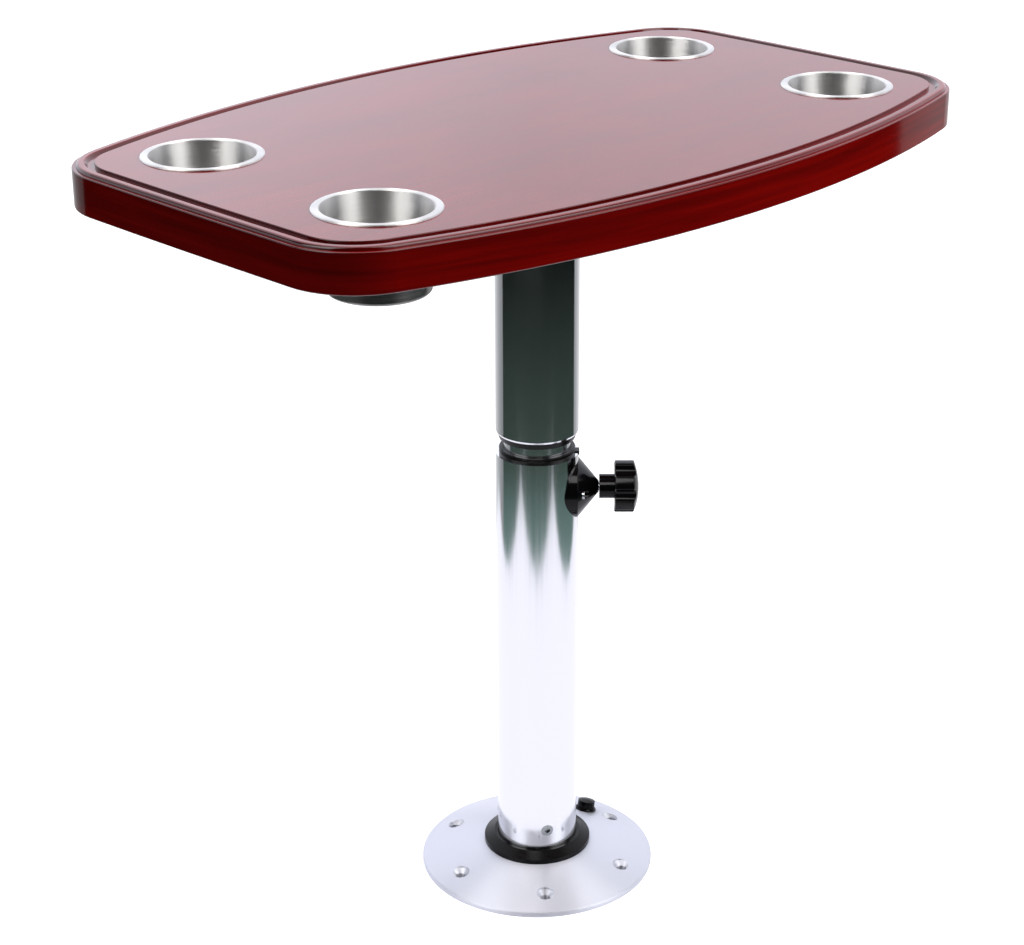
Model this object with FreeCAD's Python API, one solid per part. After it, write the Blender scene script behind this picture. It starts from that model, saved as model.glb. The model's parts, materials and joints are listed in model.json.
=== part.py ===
import FreeCAD, Part
import math
import os

from FreeCAD import Placement, Rotation, Vector

# Adjustable camper table, in millimetres.
# The origin is the centre of the floor base's underside. +Z is up and +X runs along the top's length.

# General clearances
fixed_fit = 0.05          # radial room between pieces that are fixed together
moving_gap = 0.3          # room between pieces that move on each other
overcut = 2.0             # how far a cutting tool runs past the face it opens

# Pedestal tubes
tube_diameter = 76.0
tube_wall = 3.0
inner_tube_diameter = 62.0
inner_tube_wall = 3.0
tube_bevel = 1.2          # how far the upper tube's lower edge is drawn in
tube_bevel_height = 2.0
lower_tube_length = 426.2
upper_tube_length = 247.6
height_travel = 220.0     # how far the top can be raised from the height shown
closing_gap = 9.5         # room left between the upper ring and the lower collar

# Floor base
base_diameter = 224.0
dome_radius = 332.0       # radius of the sphere that the dome is part of
base_rim_height = 4.44    # height of the dome's edge above the floor
dome_wall = 4.0
rim_land = 8.0            # width of the flat ring that the base stands on
rim_round = 2.0
socket_floor = 3.0
socket_wall = 4.0
floor_hole_count = 6
floor_hole_circle = 180.0
floor_hole_diameter = 9.0
floor_hole_sink = 17.0    # countersink diameter
floor_hole_first_angle = -10.0
floor_boss_diameter = 21.0

# Bush in the base
bush_skirt_diameter = 102.6
bush_lip_diameter = 83.0
bush_lip_rise = 9.2       # height of the lip above the skirt's seat
bush_lip_round = 0.4
bush_skirt_edge = 4.5
bush_wall = 4.0

# Release button and latch
latch_angle = 7.0
button_distance = 79.0    # from the pedestal axis to the button, on the dome
button_diameter = 17.0
button_rise = 10.5        # height of the button above the dome
button_dome = 1.6         # crown of the button's top
button_sunk = 1.5         # length of the button below the dome's surface
button_travel = 3.0
button_stem_diameter = 8.0
button_tip_room = 1.3     # room left under the stem's tip when the button is pressed
button_tip_land = 1.0     # width of the stem's tip inside its ramp
bezel_diameter = 21.0
bezel_rise = 2.0
bezel_wall = 0.7
bolt_diameter = 5.0
bolt_height = 6.5         # height of the bolt's axis above the floor
bolt_collar_diameter = 8.4
bolt_collar_width = 3.0
bolt_collar_gap = 2.2     # from the socket's wall to the bolt's collar
spring_wire = 0.7
spring_turns = 5
spring_length = 10.5
latch_lug_width = 14.0
latch_lug_thickness = 3.0
yoke_width = 14.0
yoke_thickness = 3.3
yoke_underside = 3.0      # height of the yoke's underside above the floor
yoke_end_bar = 6.0        # how far the yoke reaches past the button

# Plug and screws at the foot of the lower tube
foot_plug_length = 62.0
foot_plug_wall = 7.0
foot_plug_base = 6.0
foot_screw_height = 49.0  # above the floor
foot_screw_angle = -120.0

# Socket screws, shared by the foot plug and the upper hub
socket_screw_count = 3
socket_screw_head = 11.5
socket_screw_proud = 0.3
socket_screw_seat = 1.0   # depth of the spot face under the head, below the tube's bore
socket_screw_shank = 7.0
socket_screw_key = 5.0    # width across the flats of the key's hole
socket_screw_key_depth = 2.4

# Guide collar in the mouth of the lower tube
collar_rise = 5.2
collar_sleeve = 23.0
collar_ridge_height = 2.2
collar_groove = 1.6       # depth of the groove between the two ridges
collar_round = 0.8
collar_tab_width = 9.0
collar_tab_depth = 2.4    # how deep the tab sits in the tube's notch
collar_tab_height = 3.6
collar_tab_proud = 0.6

# Clamp boss and knob
knob_angle = -45.0
clamp_drop = 35.4         # from the mouth of the lower tube down to the knob's axis
boss_diameter = 57.4
boss_band = 37.0          # distance from the pedestal axis where the cone starts
boss_tip_diameter = 10.6
boss_rim_round = 1.2
boss_length = 56.5        # distance from the pedestal axis to the boss's tip
boss_screw_offset = 21.0
boss_screw_seat = 41.0
boss_screw_head = 8.0
boss_screw_head_height = 2.4
boss_screw_shank = 4.4
boss_screw_recess = 9.4
boss_screw_slot = 1.2
clamp_nut_diameter = 16.0
clamp_nut_length = 8.0
pad_diameter = 18.0
pad_thickness = 6.6
pad_release = 2.0         # how far the pad draws back when the knob is loosened
stud_diameter = 8.0
stud_grip = 26.0          # length of the stud inside the knob
knob_gap = 0.6            # from the boss's tip to the knob's hub
knob_hub_diameter = 22.5
knob_hub_length = 14.0
knob_diameter = 48.4
knob_thickness = 17.7
knob_crown = 4.6
knob_edge = 2.4
knob_lobes = 6
knob_scallop = 13.0       # diameter of each hollow between two lobes
knob_scallop_depth = 5.2

# Glide at the foot of the inner tube
glide_length = 30.0
glide_room = 12.0         # room kept between the raised glide and the pad
glide_plug_flange = 4.7
glide_plug_spigot = 20.0
glide_stop_step = 2.5     # how far the plug's flange and the snap ring stand out of the inner tube
snap_ring_width = 2.0
snap_ring_groove = 0.8

# Ring at the lower end of the upper tube
end_ring_height = 5.5
end_ring_inset = 1.4      # from the tube's outside to the ring's upper edge
end_ring_taper = 1.8
end_ring_sleeve = 25.0

# Flange under the top
top_flange_diameter = 178.0
top_flange_edge = 3.0
top_flange_thickness = 6.0
top_hub_length = 52.0
top_screw_count = 6
top_screw_circle = 144.0
top_screw_shank = 4.5
top_screw_head = 9.0
top_screw_length = 26.0
top_screw_slot = 1.2
hub_screw_drop = 28.0     # from the flange down to the hub screws
hub_screw_angle = 60.0

# Top
table_length = 763.0
table_width = 482.0
table_end_width = 347.4   # width between the sides, run on to the ends
table_end_bow = 1.6
table_corner_radius = 68.0
table_thickness = 36.0
panel_inset = 18.5        # from the side to the panel's edge, across the bead and the groove
panel_round = 0.8
groove_depth = 3.0
groove_floor_inset = 13.0 # from the side to the outer edge of the groove's floor
bead_crest_inset = 10.0   # from the side to the inner edge of the bead's crest, level with the panel
bead_inset = 3.5          # from the side to the bead's foot
bead_round = 2.8
bead_edge_round = 1.5     # inner edge of the crest, where it slopes into the groove
ledge_drop = 3.0          # from the panel down to the small ledge outside the bead
ledge_round = 1.0
underside_round = 1.5

# Cup holders
cup_end_inset = 102.7     # from the end of the top to the cup's axis
cup_spacing_y = 215.0
cup_rim_diameter = 101.8
cup_mouth_diameter = 88.6
cup_foot_diameter = 82.0
cup_depth = 65.6          # from the panel's surface to the cup's underside
cup_wall = 1.0
cup_rim_height = 1.4
cup_foot_round = 3.0

# Worked-out sizes and heights
tube_radius = tube_diameter / 2
tube_bore = tube_radius - tube_wall
inner_radius = inner_tube_diameter / 2
inner_bore = inner_radius - inner_tube_wall
base_radius = base_diameter / 2
dome_centre = Vector(0, 0, base_rim_height - math.sqrt(dome_radius ** 2 - base_radius ** 2))
dome_peak = dome_centre.z + dome_radius  # height that the dome would reach on the axis
dome_inner_radius = dome_radius - dome_wall

bush_bore = tube_radius + moving_gap
bush_outer = bush_bore + bush_wall
socket_bore = bush_outer + fixed_fit
socket_outer = socket_bore + socket_wall
bush_skirt_radius = bush_skirt_diameter / 2

lower_mouth = socket_floor + lower_tube_length
collar_top = lower_mouth + collar_rise
end_ring_bottom = collar_top + closing_gap
upper_tube_bottom = end_ring_bottom + end_ring_height
upper_tube_top = upper_tube_bottom + upper_tube_length
underside = upper_tube_top + top_flange_thickness
panel = underside + table_thickness

clamp_height = lower_mouth - clamp_drop
pad_front = inner_radius + moving_gap
pad_back = pad_front + pad_thickness
pad_hole_radius = pad_diameter / 2 + moving_gap
pad_pocket_end = pad_back + pad_release + moving_gap
nut_start = pad_pocket_end + moving_gap
knob_start = boss_length + knob_gap
knob_head_start = knob_start + knob_hub_length
knob_end = knob_head_start + knob_thickness + knob_crown

snap_ring_top = clamp_height - pad_hole_radius - glide_room - height_travel
glide_top = snap_ring_top - snap_ring_width - moving_gap
glide_bottom = glide_top - glide_length
inner_tube_bottom = glide_bottom - moving_gap
glide_stop_radius = inner_radius + glide_stop_step

hub_screw_height = upper_tube_top - hub_screw_drop
socket_seat = tube_bore - socket_screw_seat

button_tilt = math.asin(button_distance / dome_radius)  # the button's axis is square to the dome
button_sink = button_travel * math.cos(button_tilt)
button_tip_height = button_tip_room + button_sink
bolt_nose = bush_bore + 2 * fixed_fit
bolt_collar_start = socket_outer + bolt_collar_gap
spring_start = bolt_collar_start + bolt_collar_width
latch_lug_start = spring_start + spring_length
latch_lug_end = latch_lug_start + latch_lug_thickness
yoke_start = latch_lug_end + moving_gap
bolt_hole_radius = bolt_diameter / 2 + moving_gap


# Shape helpers

def cylinder(radius, bottom, top):
    """Upright cylinder about the pedestal axis."""
    return Part.makeCylinder(radius, top - bottom, Vector(0, 0, bottom))


def ring(outer, inner, bottom, top):
    """Upright ring with a plain bore."""
    return cylinder(outer, bottom, top).cut(cylinder(inner, bottom - overcut, top + overcut))


def turned(profile):
    """Solid of revolution about Z from (radius, height) points."""
    points = [Vector(radius, 0, height) for radius, height in profile]
    face = Part.Face(Part.makePolygon(points + points[:1]))
    return face.revolve(Vector(0, 0, 0), Vector(0, 0, 1), 360)


def block(low, high):
    """Box between two opposite corners."""
    size = [b - a for a, b in zip(low, high)]
    return Part.makeBox(*size, Vector(*low))


def placed(shape, origin, direction):
    """Copy of a shape made along +Z, moved to an origin and aimed along a direction."""
    moved = shape.copy()
    moved.Placement = Placement(origin, Rotation(Vector(0, 0, 1), direction)) * shape.Placement
    return moved


def spun(shape, angle):
    """Copy of a shape turned about the pedestal axis."""
    moved = shape.copy()
    moved.rotate(Vector(0, 0, 0), Vector(0, 0, 1), angle)
    return moved


def at_clamp(shape):
    """Places a shape made along +Z on the knob's axis, with Z as the distance from the pedestal axis."""
    turned_out = spun(placed(shape, Vector(0, 0, 0), Vector(1, 0, 0)), knob_angle)
    turned_out.translate(Vector(0, 0, clamp_height))
    return turned_out


def angles(count, first):
    """Evenly spaced angles round a circle."""
    return [first + index * 360 / count for index in range(count)]


def rounded(shape, radius, picked):
    """Fillets the edges that a test picks."""
    return shape.makeFillet(radius, [edge for edge in shape.Edges if picked(edge)])


def level_edges(height):
    """Test that picks the edges lying at one height."""
    def test(edge):
        box = edge.BoundBox
        return abs(box.ZMin - height) < 1e-4 and abs(box.ZMax - height) < 1e-4
    return test


def dome_height(radius):
    """Height of the dome's outside at a distance from the pedestal axis."""
    return dome_centre.z + math.sqrt(dome_radius ** 2 - radius ** 2)


def stem_side(height):
    """Distance from the pedestal axis to the near side of the button's stem at a height."""
    drop = dome_height(button_distance) - height
    radius = button_stem_diameter / 2 / math.cos(button_tilt)
    return button_distance - drop * math.tan(button_tilt) - radius


# Socket screws, with Z as the distance from the pedestal axis

def socket_screw(depth):
    """Socket-head screw whose head fills the tube's wall and whose shank runs to a depth below the bore."""
    head_top = tube_radius + socket_screw_proud
    head = cylinder(socket_screw_head / 2, socket_seat, head_top)
    head = rounded(head, socket_screw_proud, level_edges(head_top))
    shank = cylinder(socket_screw_shank / 2, tube_bore - depth, socket_seat)
    corner = socket_screw_key / math.sqrt(3)
    corners = [
        Vector(corner * math.cos(math.radians(a)), corner * math.sin(math.radians(a)), 0)
        for a in angles(6, 0)
    ]
    key = Part.Face(Part.makePolygon(corners + corners[:1]))
    key.translate(Vector(0, 0, head_top - socket_screw_key_depth))
    return head.fuse(shank).cut(key.extrude(Vector(0, 0, socket_screw_key_depth + overcut)))


def around_tube(shape, height, first_angle):
    """Copies of a shape made along +Z, pointing outwards from the pedestal axis at one height."""
    outward = placed(shape, Vector(0, 0, height), Vector(1, 0, 0))
    return [spun(outward, angle) for angle in angles(socket_screw_count, first_angle)]


def screw_holes(height, first_angle, reach):
    """Tools that open the head's hole down to its seat and the shank's hole behind it."""
    head = cylinder(socket_screw_head / 2 + fixed_fit, socket_seat, tube_radius + overcut)
    shank = cylinder(socket_screw_shank / 2 + fixed_fit, tube_bore - reach, socket_seat)
    return around_tube(head.fuse(shank), height, first_angle)


def group(shapes):
    """Compound of separate solids."""
    return Part.makeCompound(shapes)


# Floor base

def floor_hole_centres():
    radius = floor_hole_circle / 2
    return [
        Vector(radius * math.cos(math.radians(a)), radius * math.sin(math.radians(a)), 0)
        for a in angles(floor_hole_count, floor_hole_first_angle)
    ]


def button_axis_tool(radius, bottom, top):
    """Cylinder on the button's tilted axis, measured from the dome's surface."""
    tool = Part.makeCylinder(radius, top - bottom, Vector(0, 0, bottom))
    return on_button_axis(tool)


def on_button_axis(shape):
    """Places a shape made along +Z on the button's axis, which is square to the dome."""
    moved = shape.copy()
    moved.rotate(Vector(0, 0, 0), Vector(0, 1, 0), math.degrees(button_tilt))
    moved.translate(Vector(button_distance, 0, dome_height(button_distance)))
    return spun(moved, latch_angle)


def bolt_tool(radius, start, end):
    """Cylinder on the bolt's axis between two distances from the pedestal axis."""
    bar = placed(cylinder(radius, start, end), Vector(0, 0, bolt_height), Vector(1, 0, 0))
    return spun(bar, latch_angle)


def latch_lug():
    """Lug cast under the dome that the spring bears on, with a slot open at the bottom for the bolt."""
    half = latch_lug_width / 2
    lug = block((latch_lug_start, -half, yoke_underside / 2), (latch_lug_end, half, dome_peak))
    slot = block(
        (latch_lug_start - overcut, -bolt_hole_radius, -overcut),
        (latch_lug_end + overcut, bolt_hole_radius, bolt_height),
    )
    return spun(lug.cut(slot), latch_angle).cut(bolt_tool(bolt_hole_radius, 0, base_radius))


def base_flange():
    dome = Part.makeSphere(dome_radius, dome_centre)
    hollow = Part.makeSphere(dome_inner_radius, dome_centre)
    body = cylinder(base_radius, 0, dome_peak + overcut).common(dome)
    body = rounded(body, rim_round, level_edges(dome_height(base_radius)))
    cavity = cylinder(base_radius - rim_land, -overcut, dome_peak).common(hollow)
    cavity = cavity.cut(cylinder(socket_outer, -2 * overcut, dome_peak))
    for centre in floor_hole_centres():
        post = Part.makeCylinder(floor_boss_diameter / 2, dome_peak, centre)
        cavity = cavity.cut(post)
    body = body.cut(cavity.cut(latch_lug()))
    seat = dome_height(bush_skirt_radius)
    body = body.cut(cylinder(bush_skirt_radius, seat, dome_peak + overcut))
    body = body.cut(cylinder(socket_bore, socket_floor, dome_peak + overcut))
    for centre in floor_hole_centres():
        body = body.cut(floor_hole(centre))
    body = body.cut(bolt_tool(bolt_hole_radius, tube_radius, socket_outer + overcut))
    sleeve = button_diameter / 2 + moving_gap + bezel_wall + fixed_fit
    return body.cut(button_axis_tool(sleeve, -3 * dome_wall, bezel_rise))


def floor_hole(centre):
    """Upright hole with a countersink, and a round spot face where the dome rises above its mouth."""
    hole = floor_hole_diameter / 2
    sink = floor_hole_sink / 2
    mouth = dome_height(floor_hole_circle / 2)
    clear = dome_peak + overcut
    tool = turned([
        (0, -overcut),
        (hole, -overcut),
        (hole, mouth - (sink - hole)),
        (sink, mouth),
        (sink, clear),
        (0, clear),
    ])
    tool.translate(centre)
    return tool


def base_bush():
    seat = dome_height(bush_skirt_radius)
    lip = bush_lip_diameter / 2
    top = seat + bush_lip_rise
    bush = turned([
        (bush_bore, socket_floor + fixed_fit),
        (bush_outer, socket_floor + fixed_fit),
        (bush_outer, seat),
        (bush_skirt_radius - fixed_fit, seat),
        (bush_skirt_radius - fixed_fit, seat + bush_skirt_edge),
        (lip, top),
        (bush_bore, top),
    ])
    bush = rounded(bush, bush_lip_round, level_edges(top))
    return bush.cut(bolt_tool(bolt_hole_radius, 0, socket_outer))


def button_bezel():
    inner = button_diameter / 2 + moving_gap
    sleeve = inner + bezel_wall
    outer = bezel_diameter / 2
    # The underside of the rim clears the dome's crown across the rim's width.
    sag = dome_radius - math.sqrt(dome_radius ** 2 - outer ** 2)
    bezel = turned([
        (inner, -dome_wall),
        (sleeve, -dome_wall),
        (sleeve, 0),
        (outer, -sag + fixed_fit),
        (outer, bezel_rise / 2),
        (outer - bezel_rise / 2, bezel_rise),
        (inner, bezel_rise),
    ])
    return on_button_axis(bezel)


def ramp_keep(shift):
    """Block on the inner side of the 45 degree ramp, moved outwards by a shift."""
    reach = base_radius
    ramp_foot = stem_side(button_tip_height) + button_tip_land + shift
    corners = [
        Vector(ramp_foot - button_tip_height, 0, 0),
        Vector(ramp_foot - button_tip_height + reach, 0, reach),
        Vector(-reach, 0, reach),
        Vector(-reach, 0, 0),
    ]
    face = Part.Face(Part.makePolygon(corners + corners[:1]))
    face.translate(Vector(0, -reach, 0))
    return spun(face.extrude(Vector(0, 2 * reach, 0)), latch_angle)


def release_button():
    radius = button_diameter / 2
    cap = cylinder(radius, -button_sunk, button_rise)
    crown_radius = (radius ** 2 + button_dome ** 2) / (2 * button_dome)
    crown = Part.makeSphere(crown_radius, Vector(0, 0, button_rise - crown_radius))
    cap = cap.common(crown)
    stem = on_button_axis(cylinder(button_stem_diameter / 2, -2 * dome_peak, -button_sunk))
    above = cylinder(base_radius, button_tip_height, 2 * dome_peak)
    return on_button_axis(cap).fuse(stem.common(above).common(ramp_keep(0)))


def latch_bolt():
    shank = bolt_tool(bolt_diameter / 2, bolt_nose, yoke_start + overcut)
    collar = bolt_tool(bolt_collar_diameter / 2, bolt_collar_start, spring_start)
    half = yoke_width / 2
    end = button_distance + yoke_end_bar
    top = yoke_underside + yoke_thickness
    yoke = spun(block((yoke_start, -half, yoke_underside), (end, half, top)), latch_angle)
    slot_half = button_stem_diameter / 2 + moving_gap
    slot_start = stem_side(yoke_underside) - button_sink - 2 * moving_gap
    slot = block((slot_start, -slot_half, -overcut), (end, slot_half, dome_peak))
    slot = spun(slot, latch_angle).common(ramp_keep(2 * moving_gap))
    return shank.fuse([collar, yoke]).cut(slot)


def helix_point(radius, pitch, turn):
    angle = 2 * math.pi * turn
    return Vector(radius * math.cos(angle), radius * math.sin(angle), pitch * turn)


def helix_tangent(radius, pitch, turn):
    angle = 2 * math.pi * turn
    slope = Vector(-radius * math.sin(angle), radius * math.cos(angle), pitch / (2 * math.pi))
    return slope.normalize()


def tangent_arc(start, corner, end):
    """Arc from start to end whose end tangents meet at the corner."""
    middle = (start + end) * 0.5
    half_chord = (end - start).Length / 2
    rise = (corner - middle).Length
    sagitta = half_chord * math.tan(math.atan2(rise, half_chord) / 2)
    return Part.Arc(start, middle + (corner - middle) * (sagitta / rise), end).toShape()


def biarc(start, start_way, end, end_way):
    """Two arcs that join two points smoothly along given directions."""
    chord = end - start
    both = start_way + end_way
    a = 2 * (start_way.dot(end_way) - 1)
    b = -2 * chord.dot(both)
    c = chord.dot(chord)
    reach = (-b - math.sqrt(b * b - 4 * a * c)) / (2 * a)
    first_corner = start + start_way * reach
    last_corner = end - end_way * reach
    joint = (first_corner + last_corner) * 0.5
    return [tangent_arc(start, first_corner, joint), tangent_arc(joint, last_corner, end)]


def latch_spring():
    """Coil spring round the bolt, between its collar and the lug."""
    mean_radius = (bolt_collar_diameter - spring_wire) / 2 - moving_gap / 2
    length = spring_length - spring_wire - 2 * fixed_fit
    pitch = length / spring_turns
    steps = 4 * spring_turns
    edges = []
    for index in range(steps):
        turn = index / 4
        after = (index + 1) / 4
        edges += biarc(
            helix_point(mean_radius, pitch, turn), helix_tangent(mean_radius, pitch, turn),
            helix_point(mean_radius, pitch, after), helix_tangent(mean_radius, pitch, after),
        )
    path = Part.Wire(edges)
    start = helix_point(mean_radius, pitch, 0)
    circle = Part.Circle(start, helix_tangent(mean_radius, pitch, 0), spring_wire / 2)
    coil = path.makePipeShell([Part.Wire([circle.toShape()])], True, False)
    coil.translate(Vector(0, 0, spring_start + spring_wire / 2 + fixed_fit))
    return spun(placed(coil, Vector(0, 0, bolt_height), Vector(1, 0, 0)), latch_angle)


# Lower leg

def boss_screw_tool(radius, start, end):
    """Pair of cylinders on the boss screws' axes."""
    pair = [
        at_clamp(Part.makeCylinder(radius, end - start, Vector(0, side * boss_screw_offset, start)))
        for side in (-1, 1)
    ]
    return group(pair)


def lower_tube():
    tube = ring(tube_radius, tube_bore, socket_floor, lower_mouth)
    for tool in screw_holes(foot_screw_height, foot_screw_angle, overcut):
        tube = tube.cut(tool)
    tube = tube.cut(at_clamp(cylinder(pad_hole_radius, 0, tube_radius + overcut)))
    tube = tube.cut(boss_screw_tool(boss_screw_shank / 2 + fixed_fit, 0, boss_screw_seat))
    notch = collar_tab(collar_tab_width + 2 * fixed_fit, collar_tab_depth + fixed_fit, overcut)
    return tube.cut(notch)


def collar_tab(width, depth, extra):
    """Tab across the tube's wall at its mouth, under the knob's side."""
    half = width / 2
    top = lower_mouth - collar_tab_depth + collar_tab_height
    low = (tube_bore - tube_wall / 2, -half, lower_mouth - depth)
    high = (tube_radius + collar_tab_proud + extra, half, top + extra)
    return spun(block(low, high), knob_angle)


def foot_plug():
    radius = tube_bore - fixed_fit
    bottom = socket_floor
    top = bottom + foot_plug_length
    plug = cylinder(radius, bottom, top)
    plug = plug.cut(cylinder(radius - foot_plug_wall, bottom + foot_plug_base, top + overcut))
    for tool in screw_holes(foot_screw_height, foot_screw_angle, 2 * foot_plug_wall):
        plug = plug.cut(tool)
    return plug


def foot_plug_screws():
    return group(around_tube(socket_screw(foot_plug_wall), foot_screw_height, foot_screw_angle))


def lower_collar():
    """Guide bush with two rounded ridges above the tube's mouth."""
    inner = inner_radius + moving_gap
    outer = tube_bore - fixed_fit
    waist = outer - collar_groove
    lower_ridge = lower_mouth + collar_ridge_height
    upper_ridge = collar_top - collar_ridge_height
    collar = turned([
        (inner, lower_mouth - collar_sleeve),
        (outer, lower_mouth - collar_sleeve),
        (outer, lower_ridge),
        (waist, lower_ridge),
        (waist, upper_ridge),
        (outer, upper_ridge),
        (outer, collar_top),
        (inner, collar_top),
    ])
    collar = rounded(collar, collar_round, outer_edges(outer, (lower_ridge, upper_ridge, collar_top)))
    return collar.fuse(collar_tab(collar_tab_width, collar_tab_depth, 0))


def outer_edges(radius, heights):
    """Test that picks the circles of one radius at some heights."""
    def test(edge):
        box = edge.BoundBox
        flat = abs(box.ZMax - box.ZMin) < 1e-4
        return flat and abs(box.XMax - radius) < 1e-3 and min(abs(box.ZMax - h) for h in heights) < 1e-4
    return test


def clamp_boss():
    """Cone on a round foot, cut to sit on the tube."""
    bore = stud_diameter / 2 + moving_gap
    foot = boss_diameter / 2
    boss = turned([
        (bore, 0),
        (foot, 0),
        (foot, boss_band),
        (boss_tip_diameter / 2, boss_length),
        (bore, boss_length),
    ])
    boss = rounded(boss, boss_rim_round, outer_edges(foot, (boss_band,)))
    nut_end = nut_start + clamp_nut_length + fixed_fit
    boss = boss.cut(cylinder(pad_hole_radius, 0, pad_pocket_end))
    boss = boss.cut(cylinder(clamp_nut_diameter / 2 + fixed_fit, 0, nut_end))
    boss = at_clamp(boss).cut(cylinder(tube_radius + fixed_fit, 0, panel))
    boss = boss.cut(boss_screw_tool(boss_screw_shank / 2 + fixed_fit, 0, boss_screw_seat))
    return boss.cut(boss_screw_tool(boss_screw_recess / 2, boss_screw_seat, boss_length + overcut))


def boss_screw():
    """Slotted cheese-head screw, with Z as the distance from the pedestal axis."""
    wall_inside = math.sqrt(tube_bore ** 2 - boss_screw_offset ** 2)
    top = boss_screw_seat + boss_screw_head_height
    head = cylinder(boss_screw_head / 2, boss_screw_seat, top)
    head = rounded(head, boss_screw_slot / 2, level_edges(top))
    shank = cylinder(boss_screw_shank / 2, wall_inside, boss_screw_seat)
    half = boss_screw_slot / 2
    slot = block(
        (-boss_screw_head, -half, top - boss_screw_slot),
        (boss_screw_head, half, top + overcut),
    )
    return head.fuse(shank).cut(slot)


def clamp_boss_screws():
    screws = []
    for side in (-1, 1):
        screw = boss_screw()
        screw.translate(Vector(0, side * boss_screw_offset, 0))
        screws.append(at_clamp(screw))
    return group(screws)


def clamp_nut():
    bore = stud_diameter / 2 + moving_gap
    return at_clamp(ring(clamp_nut_diameter / 2, bore, nut_start, nut_start + clamp_nut_length))


# Clamp pad and knob

def clamp_pad():
    """Round pad with a face hollowed to the inner tube."""
    pad = at_clamp(cylinder(pad_diameter / 2, 0, pad_back))
    return pad.cut(cylinder(pad_front, 0, panel))


def knob_stud():
    return at_clamp(cylinder(stud_diameter / 2, pad_back, knob_start + stud_grip))


def knob_grip():
    """Hub and lobed head with a crowned outer face."""
    hub = cylinder(knob_hub_diameter / 2, knob_start, knob_head_start)
    radius = knob_diameter / 2
    face_start = knob_head_start + knob_thickness
    head = cylinder(radius, knob_head_start, face_start + knob_crown)
    crown_radius = (radius ** 2 + knob_crown ** 2) / (2 * knob_crown)
    head = head.common(Part.makeSphere(crown_radius, Vector(0, 0, knob_end - crown_radius)))
    scallop_centre = radius + knob_scallop / 2 - knob_scallop_depth
    for angle in angles(knob_lobes, 180 / knob_lobes):
        place = Vector(
            scallop_centre * math.cos(math.radians(angle)),
            scallop_centre * math.sin(math.radians(angle)),
            knob_head_start - overcut,
        )
        head = head.cut(Part.makeCylinder(knob_scallop / 2, knob_thickness + knob_crown + 2 * overcut, place))
    head = head.makeFillet(knob_edge / 2, head.Edges)
    grip = hub.fuse(head)
    return at_clamp(grip.cut(cylinder(stud_diameter / 2 + fixed_fit, 0, knob_start + stud_grip + fixed_fit)))


# Sliding and turning upper leg

def glide_ring():
    return ring(tube_bore - moving_gap, inner_radius + moving_gap, glide_bottom, glide_top)


def inner_tube():
    tube = ring(inner_radius, inner_bore, inner_tube_bottom, upper_tube_top)
    groove = ring(
        inner_radius + overcut, inner_radius - snap_ring_groove,
        snap_ring_top - snap_ring_width - fixed_fit, snap_ring_top + fixed_fit,
    )
    tube = tube.cut(groove)
    for tool in screw_holes(hub_screw_height, hub_screw_angle, tube_bore):
        tube = tube.cut(tool)
    return tube


def inner_tube_plug():
    flange = cylinder(glide_stop_radius, inner_tube_bottom - glide_plug_flange, inner_tube_bottom)
    spigot = cylinder(inner_bore - fixed_fit, inner_tube_bottom, inner_tube_bottom + glide_plug_spigot)
    return flange.fuse(spigot)


def glide_snap_ring():
    return ring(
        glide_stop_radius, inner_radius - snap_ring_groove + fixed_fit,
        snap_ring_top - snap_ring_width, snap_ring_top,
    )


def upper_tube():
    """Sleeve tube with a bevelled lower edge."""
    tube = turned([
        (tube_bore, upper_tube_bottom),
        (tube_radius - tube_bevel, upper_tube_bottom),
        (tube_radius, upper_tube_bottom + tube_bevel_height),
        (tube_radius, upper_tube_top),
        (tube_bore, upper_tube_top),
    ])
    for tool in screw_holes(hub_screw_height, hub_screw_angle, overcut):
        tube = tube.cut(tool)
    return tube


def upper_end_ring():
    """Tapered ring under the tube, with a sleeve between the two tubes."""
    inner = inner_radius + fixed_fit
    edge = tube_radius - end_ring_inset
    return turned([
        (inner, end_ring_bottom),
        (edge - end_ring_taper, end_ring_bottom),
        (edge, upper_tube_bottom),
        (tube_bore - fixed_fit, upper_tube_bottom),
        (tube_bore - fixed_fit, upper_tube_bottom + end_ring_sleeve),
        (inner, upper_tube_bottom + end_ring_sleeve),
    ])


def top_screw_centres():
    radius = top_screw_circle / 2
    return [
        Vector(radius * math.cos(math.radians(a)), radius * math.sin(math.radians(a)), 0)
        for a in angles(top_screw_count, 0)
    ]


def top_screw_seat():
    """Height of the flange's sloping underside at the screws."""
    edge = top_flange_diameter / 2
    fall = (top_flange_thickness - top_flange_edge) / (edge - tube_radius)
    return underside - top_flange_edge - fall * (edge - top_screw_circle / 2)


def top_screw(centre, room, reach):
    """Countersunk wood screw or, with some room, the tool for its hole."""
    head = top_screw_head / 2 + room
    shank = top_screw_shank / 2 + room
    seat = top_screw_seat()
    shape = turned([
        (0, seat - reach),
        (head, seat - reach),
        (head, seat),
        (shank, seat + head - shank),
        (shank, seat + top_screw_length + room),
        (0, seat + top_screw_length + room),
    ])
    shape.translate(centre)
    return shape


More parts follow.
